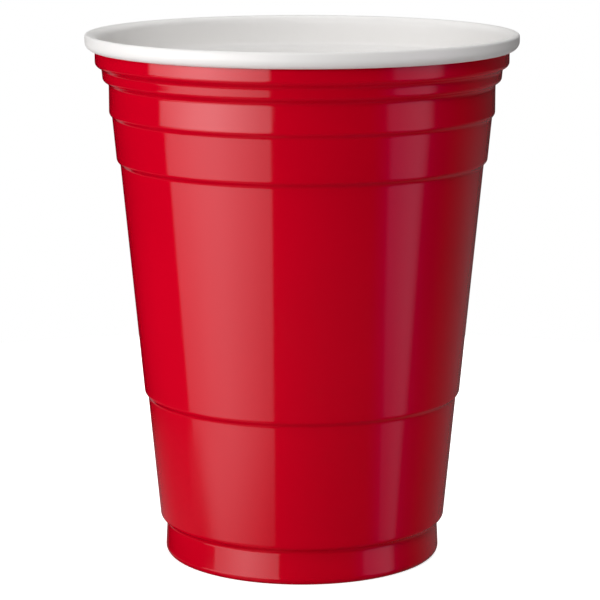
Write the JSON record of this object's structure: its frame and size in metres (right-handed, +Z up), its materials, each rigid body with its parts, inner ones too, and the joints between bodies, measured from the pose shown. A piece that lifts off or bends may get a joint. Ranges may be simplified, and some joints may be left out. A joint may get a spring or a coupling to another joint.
{
  "type": "plastic party cup",
  "caption": "Tapered disposable drinking cup formed from one thin sheet, red outside and white inside, with a rolled rim, stepped grip rings and a recessed floor.",
  "frame": {"origin": "on the cup's axis, in the plane of the foot ring that it stands on", "axes": "+Z up along the axis, towards the open rim; the cup is round, so X and Y are free"},
  "size_m": [0.097, 0.097, 0.119],
  "materials": {
    "cup_sheet": "glossy red outside, smooth white inside and on the rolled rim"
  },
  "bodies": {
    "root": {"cup": "cup_sheet"}
  },
  "joints": []
}
